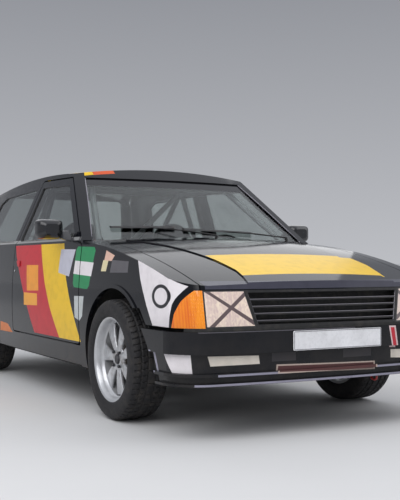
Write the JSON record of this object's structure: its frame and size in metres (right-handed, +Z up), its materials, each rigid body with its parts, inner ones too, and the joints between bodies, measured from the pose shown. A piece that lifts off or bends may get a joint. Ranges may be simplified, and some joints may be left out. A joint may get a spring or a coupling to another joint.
{
  "type": "rally car",
  "caption": "Three-door rally hatchback with roll cage, bucket seats, alloy wheels, opening doors, bonnet and tailgate.",
  "frame": {"origin": "on the ground below the middle of the car's box", "axes": "+X forward, +Y to the car's left, +Z up"},
  "size_m": [3.9879, 1.8788, 1.3999],
  "materials": {
    "body_paint": "gloss",
    "underbody": "matt",
    "clear_glass": "clear",
    "black_plastic": "satin",
    "lamp_glass": "clear",
    "amber_lens": "gloss",
    "red_lens": "gloss",
    "cast_engine": "rough",
    "cage_paint": "gloss",
    "seat_cloth": "woven",
    "bare_steel": "dull",
    "tyre_rubber": "matt",
    "alloy": "satin",
    "wheel_rim_grip": "satin"
  },
  "bodies": {
    "car_body": {"body_side_left": "body_paint", "body_side_right": "body_paint", "bulkhead": "underbody", "dashboard": "black_plastic", "drive_shafts": "bare_steel", "engine": "cast_engine", "exhaust": "bare_steel", "floor_pan": "underbody", "front_bumper": "black_plastic", "front_panel": "underbody", "front_spoiler": "black_plastic", "front_suspension": "bare_steel", "front_wing_left": "body_paint", "front_wing_right": "body_paint", "fuel_tank": "black_plastic", "grille": "black_plastic", "headlamps": "lamp_glass", "indicators": "amber_lens", "quarter_glass": "clear_glass", "rear_bumper": "black_plastic", "rear_panel": "body_paint", "rear_suspension": "bare_steel", "roll_cage": "cage_paint", "roof_panel": "body_paint", "scuttle": "body_paint", "seats": "seat_cloth", "tail_lamps": "red_lens", "wheel_housings": "underbody", "windscreen": "clear_glass", "windscreen_surround": "body_paint", "wipers": "black_plastic"},
    "door_left": {"door_left": "body_paint", "door_glass_left": "clear_glass", "door_mirror_left": "black_plastic"},
    "door_right": {"door_right": "body_paint", "door_glass_right": "clear_glass", "door_mirror_right": "black_plastic"},
    "bonnet": {"bonnet": "body_paint"},
    "tailgate": {"tailgate": "body_paint", "rear_glass": "clear_glass", "tailgate_spoiler": "black_plastic"},
    "steering_wheel": {"steering_wheel": "wheel_rim_grip"},
    "knuckle_left": {"front_knuckle_left": "bare_steel"},
    "knuckle_right": {"front_knuckle_right": "bare_steel"},
    "wheel_front_left": {"tyre_front_left": "tyre_rubber", "rim_front_left": "alloy", "brake_disc_front_left": "bare_steel"},
    "wheel_front_right": {"tyre_front_right": "tyre_rubber", "rim_front_right": "alloy", "brake_disc_front_right": "bare_steel"},
    "wheel_rear_left": {"tyre_rear_left": "tyre_rubber", "rim_rear_left": "alloy", "brake_disc_rear_left": "bare_steel"},
    "wheel_rear_right": {"tyre_rear_right": "tyre_rubber", "rim_rear_right": "alloy", "brake_disc_rear_right": "bare_steel"}
  },
  "joints": [
    {"name": "door_left_hinge", "type": "hinge", "parent": "car_body", "child": "door_left", "pos_m": [0.685, 0.77, 0.6], "axis": [0, 0, -1], "range_deg": [0, 65]},
    {"name": "door_right_hinge", "type": "hinge", "parent": "car_body", "child": "door_right", "pos_m": [0.685, -0.77, 0.6], "axis": [0, 0, 1], "range_deg": [0, 65]},
    {"name": "bonnet_hinge", "type": "hinge", "parent": "car_body", "child": "bonnet", "pos_m": [0.838, 0, 0.9257], "axis": [0, -1, 0], "range_deg": [0, 60]},
    {"name": "tailgate_hinge", "type": "hinge", "parent": "car_body", "child": "tailgate", "pos_m": [-1.472, 0, 1.3417], "axis": [0, 1, 0], "range_deg": [0, 75]},
    {"name": "steer_left", "type": "hinge", "parent": "car_body", "child": "knuckle_left", "pos_m": [1.19, 0.55, 0.303], "axis": [0, 0, 1], "range_deg": [-30, 30]},
    {"name": "steer_right", "type": "hinge", "parent": "car_body", "child": "knuckle_right", "pos_m": [1.19, -0.55, 0.303], "axis": [0, 0, 1], "range_deg": [-30, 30]},
    {"name": "steering_wheel_turn", "type": "hinge", "parent": "car_body", "child": "steering_wheel", "pos_m": [0.33, 0.35, 0.8], "axis": [-0.9171, 0, 0.3987], "range_deg": [-430, 430]},
    {"name": "roll_front_left", "type": "hinge", "parent": "knuckle_left", "child": "wheel_front_left", "pos_m": [1.19, 0.705, 0.303], "axis": [0, 1, 0], "continuous": true},
    {"name": "roll_front_right", "type": "hinge", "parent": "knuckle_right", "child": "wheel_front_right", "pos_m": [1.19, -0.705, 0.303], "axis": [0, 1, 0], "continuous": true},
    {"name": "roll_rear_left", "type": "hinge", "parent": "car_body", "child": "wheel_rear_left", "pos_m": [-1.21, 0.705, 0.303], "axis": [0, 1, 0], "continuous": true},
    {"name": "roll_rear_right", "type": "hinge", "parent": "car_body", "child": "wheel_rear_right", "pos_m": [-1.21, -0.705, 0.303], "axis": [0, 1, 0], "continuous": true}
  ],
  "couplings": [
    {"joint": "steer_right", "follows": "steer_left", "ratio": 1},
    {"joint": "steering_wheel_turn", "follows": "steer_left", "ratio": 14}
  ]
}
